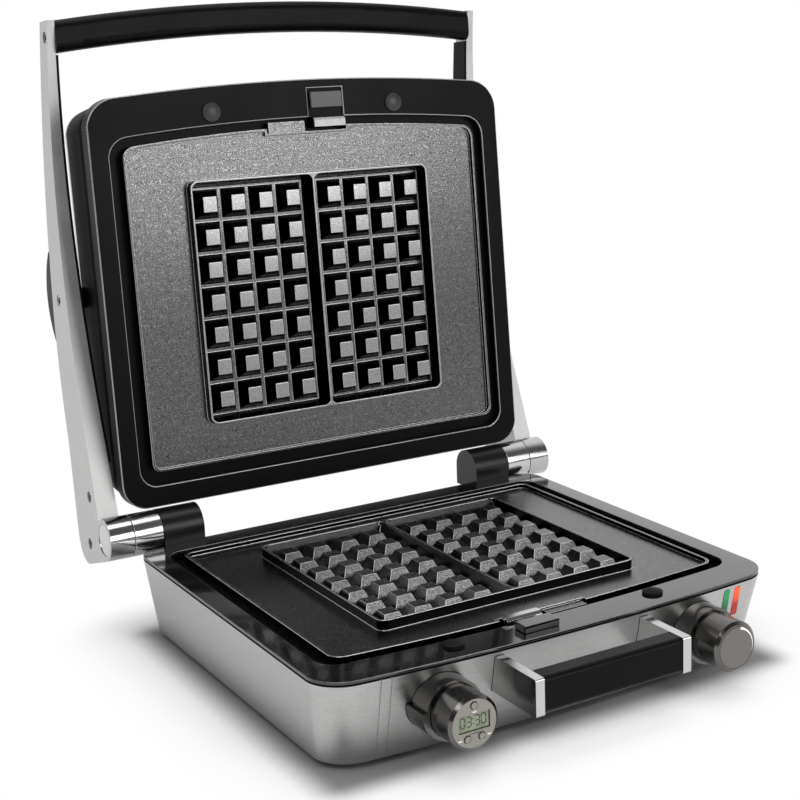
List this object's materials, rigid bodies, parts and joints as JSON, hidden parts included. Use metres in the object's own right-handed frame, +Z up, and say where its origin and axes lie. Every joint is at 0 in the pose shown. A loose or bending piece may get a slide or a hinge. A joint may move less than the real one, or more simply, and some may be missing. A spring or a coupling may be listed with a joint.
{
  "type": "waffle maker",
  "caption": "Hinged waffle maker with a floating lid, lift-out plates for two rectangular waffles, bowed lid handle, pull-out timer and heat dial.",
  "frame": {"origin": "centre of the whole outline in plan, on the plane of the feet, lid open", "axes": "+X to the right seen from the front, +Y to the rear where the hinges are, +Z up"},
  "size_m": [0.3894, 0.4807, 0.4608],
  "materials": {
    "brushed_shell": "stainless steel, brushed along X",
    "gloss_black": "glossy black moulding",
    "black_plastic": "matte black moulding",
    "rubber": "matte black rubber",
    "screw_steel": "bright steel screws",
    "polished_chrome": "polished chrome",
    "cast_arm": "satin cast aluminium",
    "shaft_steel": "ground steel",
    "brass": "sintered bronze",
    "nonstick": "cast aluminium with a dark speckled non-stick coat",
    "bare_aluminium": "bare pressed sheet",
    "heater_steel": "heat-blued sheath",
    "ceramic": "cream steatite",
    "board": "green circuit board",
    "dark_chrome": "dark chrome",
    "satin_face": "satin metal face",
    "display": "liquid crystal display",
    "green_lens": "green indicator lens",
    "red_lens": "red indicator lens",
    "button_grey": "dark grey push button"
  },
  "bodies": {
    "base": {"base_shell": "brushed_shell", "base_bezel": "gloss_black", "lower_plate_tray": "black_plastic", "bottom_cover": "black_plastic", "feet": "rubber", "bottom_screws": "screw_steel", "bezel_bumpers": "rubber", "hinge_knuckle_left": "black_plastic", "hinge_knuckle_right": "black_plastic", "hinge_collar_left": "polished_chrome", "hinge_collar_right": "polished_chrome", "hinge_shaft_left": "shaft_steel", "hinge_shaft_right": "shaft_steel", "lower_heater": "heater_steel", "lower_reflector": "bare_aluminium", "thermostat": "ceramic", "thermal_fuse": "brass", "terminal_block": "ceramic", "cord_inlet": "black_plastic", "timer_sleeve": "dark_chrome", "dial_sleeve": "dark_chrome", "grip_bracket_left": "polished_chrome", "grip_bracket_right": "polished_chrome", "front_grip_bar": "black_plastic", "ready_lens": "green_lens", "power_lens": "red_lens", "lamp_board": "board"},
    "dial": {"thermostat_dial": "dark_chrome", "dial_face": "satin_face"},
    "timer": {"timer_body": "dark_chrome", "timer_face": "satin_face", "timer_display": "display"},
    "start_button": {"timer_start_button": "button_grey"},
    "minute_button": {"timer_minute_button": "button_grey"},
    "second_button": {"timer_second_button": "button_grey"},
    "lower_waffle_plate": {"lower_plate": "nonstick"},
    "lower_latch": {"lower_release_button": "gloss_black", "lower_latch_bar": "polished_chrome"},
    "arms": {"arm_left": "cast_arm", "arm_right": "cast_arm", "arm_liner_left": "black_plastic", "arm_liner_right": "black_plastic", "lid_handle": "black_plastic", "arm_screws": "screw_steel", "hinge_caps": "polished_chrome", "hinge_bushes": "brass", "pivot_pins": "shaft_steel"},
    "float_lock": {"float_lock_slide": "black_plastic"},
    "lid": {"lid_frame": "black_plastic", "lid_housing": "black_plastic", "lid_cover": "brushed_shell", "lid_bumpers": "rubber", "upper_plate_tray": "black_plastic", "upper_heater": "heater_steel", "upper_reflector": "bare_aluminium"},
    "upper_waffle_plate": {"upper_plate": "nonstick"},
    "upper_latch": {"upper_release_button": "button_grey", "upper_latch_bar": "polished_chrome"}
  },
  "joints": [
    {"name": "lid_hinge", "type": "hinge", "parent": "base", "child": "arms", "pos_m": [0, 0.13149, 0.0725], "axis": [-1, 0, 0], "range_deg": [-94.6, 0]},
    {"name": "lid_float", "type": "hinge", "parent": "arms", "child": "lid", "pos_m": [0, 0.21031, 0.24162], "axis": [1, 0, 0], "range_deg": [0, 6]},
    {"name": "float_lock_travel", "type": "slide", "parent": "arms", "child": "float_lock", "axis": [0, -0.0802, -0.9968], "range_m": [0, 0.006]},
    {"name": "dial_turn", "type": "hinge", "parent": "base", "child": "dial", "pos_m": [0.1045, -0.22391, 0.037], "axis": [0, 1, 0], "range_deg": [0, 270]},
    {"name": "timer_pull", "type": "slide", "parent": "base", "child": "timer", "axis": [0, -1, 0], "range_m": [0, 0.022]},
    {"name": "start_press", "type": "slide", "parent": "timer", "child": "start_button", "axis": [0, 1, 0], "range_m": [0, 0.0007], "stiffness_N_per_m": 400, "springref_m": -0.001},
    {"name": "minute_press", "type": "slide", "parent": "timer", "child": "minute_button", "axis": [0, 1, 0], "range_m": [0, 0.0007], "stiffness_N_per_m": 400, "springref_m": -0.001},
    {"name": "second_press", "type": "slide", "parent": "timer", "child": "second_button", "axis": [0, 1, 0], "range_m": [0, 0.0007], "stiffness_N_per_m": 400, "springref_m": -0.001},
    {"name": "lower_latch_press", "type": "slide", "parent": "base", "child": "lower_latch", "axis": [0, -1, 0], "range_m": [0, 0.0025], "stiffness_N_per_m": 500, "springref_m": -0.004},
    {"name": "lower_plate_lift", "type": "slide", "parent": "base", "child": "lower_waffle_plate", "axis": [0, 0, 1], "range_m": [0, 0.03]},
    {"name": "upper_latch_press", "type": "slide", "parent": "lid", "child": "upper_latch", "axis": [0, 0.0802, 0.9968], "range_m": [0, 0.0025], "stiffness_N_per_m": 500, "springref_m": -0.004},
    {"name": "upper_plate_lift", "type": "slide", "parent": "lid", "child": "upper_waffle_plate", "axis": [0, -0.9968, 0.0802], "range_m": [0, 0.03]}
  ]
}
